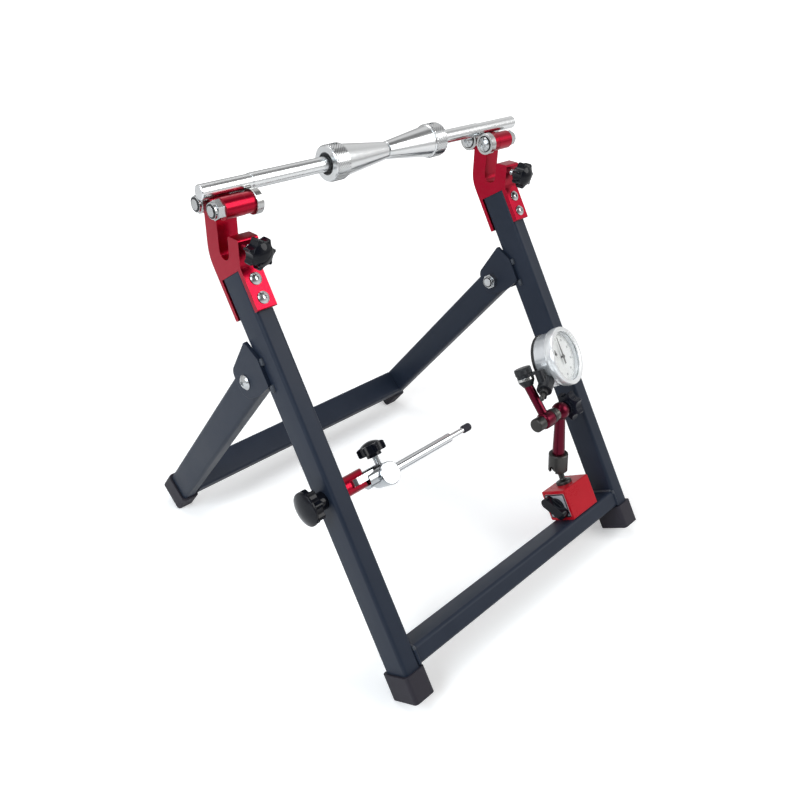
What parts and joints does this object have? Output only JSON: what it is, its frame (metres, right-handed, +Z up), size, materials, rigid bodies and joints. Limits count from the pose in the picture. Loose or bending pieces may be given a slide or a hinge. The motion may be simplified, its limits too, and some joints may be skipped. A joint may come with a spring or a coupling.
{
  "type": "wheel balancing stand",
  "caption": "Folding stand that carries a wheel on a spindle between centring cones over roller bearings, with a swivelling pointer and a dial gauge on a magnet base.",
  "frame": {"origin": "on the floor below the middle of the stand's overall box", "axes": "+X along the spindle to the right, +Y from the front feet to the rear feet, +Z up"},
  "size_m": [0.3564, 0.3716, 0.3791],
  "materials": {
    "frame_paint": "satin powder coat",
    "foot_rubber": "matte moulded",
    "red_anodised": "red anodised",
    "zinc_steel": "zinc plated",
    "bearing_steel": "ground bright",
    "turned_aluminium": "fine turned",
    "dark_steel": "blackened",
    "knob_plastic": "glossy moulded",
    "bush_nylon": "plain nylon",
    "chrome_plate": "bright plated",
    "red_paint": "gloss enamel",
    "black_finish": "satin black",
    "dial_glass": "clear",
    "dial_white": "printed white"
  },
  "bodies": {
    "frame": {"front_leg_left": "frame_paint", "front_leg_right": "frame_paint", "front_crossbar": "frame_paint", "front_feet": "foot_rubber", "hinge_plates": "frame_paint", "hinge_bolts": "zinc_steel", "bracket_left": "red_anodised", "bracket_right": "red_anodised", "bracket_bolts": "zinc_steel", "roller_spacers": "red_anodised", "roller_cores": "bearing_steel"},
    "rear_frame": {"rear_leg_left": "frame_paint", "rear_leg_right": "frame_paint", "rear_crossbar": "frame_paint", "rear_feet": "foot_rubber", "hinge_bushes": "bush_nylon"},
    "roller_left_front": {"roller_left_front": "bearing_steel"},
    "roller_left_rear": {"roller_left_rear": "bearing_steel"},
    "roller_right_front": {"roller_right_front": "bearing_steel"},
    "roller_right_rear": {"roller_right_rear": "bearing_steel"},
    "spindle": {"spindle": "turned_aluminium"},
    "cone_left": {"cone_left": "turned_aluminium", "cone_left_screw": "dark_steel"},
    "cone_right": {"cone_right": "turned_aluminium", "cone_right_screw": "dark_steel"},
    "clamp_left_pad": {"clamp_left_pad": "zinc_steel"},
    "clamp_left": {"clamp_left_knob": "knob_plastic", "clamp_left_screw": "zinc_steel"},
    "clamp_right_pad": {"clamp_right_pad": "zinc_steel"},
    "clamp_right": {"clamp_right_knob": "knob_plastic", "clamp_right_screw": "zinc_steel"},
    "pointer_arm": {"pointer_clevis": "red_anodised", "clevis_pins": "zinc_steel"},
    "pointer_knob": {"pointer_knob": "knob_plastic"},
    "pointer_link": {"pointer_link": "turned_aluminium"},
    "pointer_lock": {"pointer_lock_knob": "knob_plastic", "pointer_lock_screw": "zinc_steel"},
    "pointer_rod": {"pointer_rod": "chrome_plate", "pointer_tip": "foot_rubber"},
    "gauge_base": {"gauge_base": "red_paint", "switch_plate": "zinc_steel", "ball_stud": "dark_steel"},
    "switch": {"switch_handle": "knob_plastic"},
    "lower_arm": {"lower_arm": "red_anodised", "arm_fittings": "dark_steel", "joint_bolt": "zinc_steel"},
    "joint_knob": {"joint_knob": "knob_plastic"},
    "upper_arm": {"upper_arm": "red_anodised", "top_swivel": "black_finish", "swivel_ring": "bearing_steel"},
    "swivel_cap": {"swivel_cap": "black_finish"},
    "dial_holder": {"dial_holder": "black_finish", "dial_case": "chrome_plate", "dial_face": "dial_white"},
    "thumb_screw": {"thumb_screw": "black_finish"},
    "bezel": {"dial_bezel": "chrome_plate", "dial_glass": "dial_glass"},
    "plunger": {"dial_plunger": "dark_steel"},
    "needle": {"dial_needle": "black_finish"},
    "counter": {"dial_counter": "black_finish"}
  },
  "joints": [
    {"name": "rear_fold", "type": "hinge", "parent": "frame", "child": "rear_frame", "pos_m": [0, 0.00904, 0.22064], "axis": [-1, 0, 0], "range_deg": [0, 70]},
    {"name": "spindle_spin", "type": "hinge", "parent": "frame", "child": "spindle", "pos_m": [0, 0.03427, 0.36513], "axis": [1, 0, 0], "continuous": true},
    {"name": "roller_left_front_spin", "type": "hinge", "parent": "frame", "child": "roller_left_front", "pos_m": [-0.13075, 0.02428, 0.35382], "axis": [1, 0, 0], "continuous": true},
    {"name": "roller_left_rear_spin", "type": "hinge", "parent": "frame", "child": "roller_left_rear", "pos_m": [-0.13075, 0.04428, 0.35382], "axis": [1, 0, 0], "continuous": true},
    {"name": "roller_right_front_spin", "type": "hinge", "parent": "frame", "child": "roller_right_front", "pos_m": [0.13075, 0.02428, 0.35382], "axis": [1, 0, 0], "continuous": true},
    {"name": "roller_right_rear_spin", "type": "hinge", "parent": "frame", "child": "roller_right_rear", "pos_m": [0.13075, 0.04428, 0.35382], "axis": [1, 0, 0], "continuous": true},
    {"name": "cone_left_slide", "type": "slide", "parent": "spindle", "child": "cone_left", "axis": [1, 0, 0], "range_m": [-0.06, 0]},
    {"name": "cone_right_slide", "type": "slide", "parent": "spindle", "child": "cone_right", "axis": [1, 0, 0], "range_m": [0, 0.04]},
    {"name": "clamp_left_advance", "type": "slide", "parent": "frame", "child": "clamp_left_pad", "axis": [0, 1, 0], "range_m": [0, 0.00401]},
    {"name": "clamp_left_turn", "type": "hinge", "parent": "clamp_left_pad", "child": "clamp_left", "pos_m": [-0.15, 0.00647, 0.32802], "axis": [0, 1, 0], "range_deg": [0, 1440]},
    {"name": "clamp_right_advance", "type": "slide", "parent": "frame", "child": "clamp_right_pad", "axis": [0, 1, 0], "range_m": [0, 0.00401]},
    {"name": "clamp_right_turn", "type": "hinge", "parent": "clamp_right_pad", "child": "clamp_right", "pos_m": [0.15, 0.00647, 0.32802], "axis": [0, 1, 0], "range_deg": [0, 1440]},
    {"name": "pointer_swivel", "type": "hinge", "parent": "frame", "child": "pointer_arm", "pos_m": [-0.15, -0.07775, 0.15375], "axis": [1, 0, 0], "range_deg": [-90, 90]},
    {"name": "pointer_knob_turn", "type": "hinge", "parent": "pointer_arm", "child": "pointer_knob", "pos_m": [-0.15825, -0.07775, 0.15375], "axis": [-1, 0, 0], "range_deg": [0, 180]},
    {"name": "link_swing", "type": "hinge", "parent": "pointer_arm", "child": "pointer_link", "pos_m": [-0.12595, -0.07775, 0.15375], "axis": [0, 0.6428, 0.766], "range_deg": [-40, 40]},
    {"name": "rod_slide", "type": "slide", "parent": "pointer_link", "child": "pointer_rod", "axis": [1, 0, 0], "range_m": [0, 0.006]},
    {"name": "lock_knob_turn", "type": "hinge", "parent": "pointer_link", "child": "pointer_lock", "pos_m": [-0.09845, -0.071, 0.16179], "axis": [0, 0.6428, 0.766], "range_deg": [0, 180]},
    {"name": "gauge_slide", "type": "slide", "parent": "frame", "child": "gauge_base", "axis": [1, 0, 0], "range_m": [-0.05, 0.005]},
    {"name": "switch_turn", "type": "hinge", "parent": "gauge_base", "child": "switch", "pos_m": [0.078, -0.14131, 0.0536], "axis": [1, 0, 0], "range_deg": [0, 90]},
    {"name": "lower_arm_tilt", "type": "hinge", "parent": "gauge_base", "child": "lower_arm", "pos_m": [0.097, -0.12319, 0.0813], "axis": [1, 0, 0], "range_deg": [-10, 8]},
    {"name": "joint_knob_turn", "type": "hinge", "parent": "lower_arm", "child": "joint_knob", "pos_m": [0.10448, -0.11642, 0.14162], "axis": [1, 0, 0], "range_deg": [0, 180]},
    {"name": "upper_arm_tilt", "type": "hinge", "parent": "lower_arm", "child": "upper_arm", "pos_m": [0.075, -0.11642, 0.14162], "axis": [-1, 0, 0], "range_deg": [-25, 12]},
    {"name": "swivel_cap_turn", "type": "hinge", "parent": "upper_arm", "child": "swivel_cap", "pos_m": [0.075, -0.08634, 0.17638], "axis": [0, 0.5476, 0.8368], "range_deg": [0, 180]},
    {"name": "holder_swivel", "type": "hinge", "parent": "upper_arm", "child": "dial_holder", "pos_m": [0.075, -0.08776, 0.17421], "axis": [0, 0.5476, 0.8368], "range_deg": [-40, 8]},
    {"name": "thumb_screw_turn", "type": "hinge", "parent": "dial_holder", "child": "thumb_screw", "pos_m": [0.0835, -0.10512, 0.16979], "axis": [0.2655, 0.1833, -0.9465], "range_deg": [0, 180]},
    {"name": "bezel_turn", "type": "hinge", "parent": "dial_holder", "child": "bezel", "pos_m": [0.1152, -0.10399, 0.18907], "axis": [0.2079, -0.8185, 0.5356], "continuous": true},
    {"name": "plunger_slide", "type": "slide", "parent": "dial_holder", "child": "plunger", "axis": [0.8471, 0.4244, 0.3198], "range_m": [0, 0.005], "stiffness_N_per_m": 60, "springref_m": -0.01},
    {"name": "needle_turn", "type": "hinge", "parent": "dial_holder", "child": "needle", "pos_m": [0.1152, -0.10399, 0.18907], "axis": [-0.2079, 0.8185, -0.5356], "continuous": true},
    {"name": "counter_turn", "type": "hinge", "parent": "dial_holder", "child": "counter", "pos_m": [0.1064, -0.10282, 0.19428], "axis": [-0.2079, 0.8185, -0.5356], "continuous": true}
  ],
  "couplings": [
    {"joint": "roller_left_front_spin", "follows": "spindle_spin", "ratio": -0.57895},
    {"joint": "roller_left_rear_spin", "follows": "spindle_spin", "ratio": -0.57895},
    {"joint": "roller_right_front_spin", "follows": "spindle_spin", "ratio": -0.57895},
    {"joint": "roller_right_rear_spin", "follows": "spindle_spin", "ratio": -0.57895},
    {"joint": "clamp_left_advance", "follows": "clamp_left_turn", "m_per_rad": 0.00015915},
    {"joint": "clamp_right_advance", "follows": "clamp_right_turn", "m_per_rad": 0.00015915},
    {"joint": "needle_turn", "follows": "plunger_slide", "rad_per_m": 6283.2},
    {"joint": "counter_turn", "follows": "plunger_slide", "rad_per_m": 628.32}
  ]
}
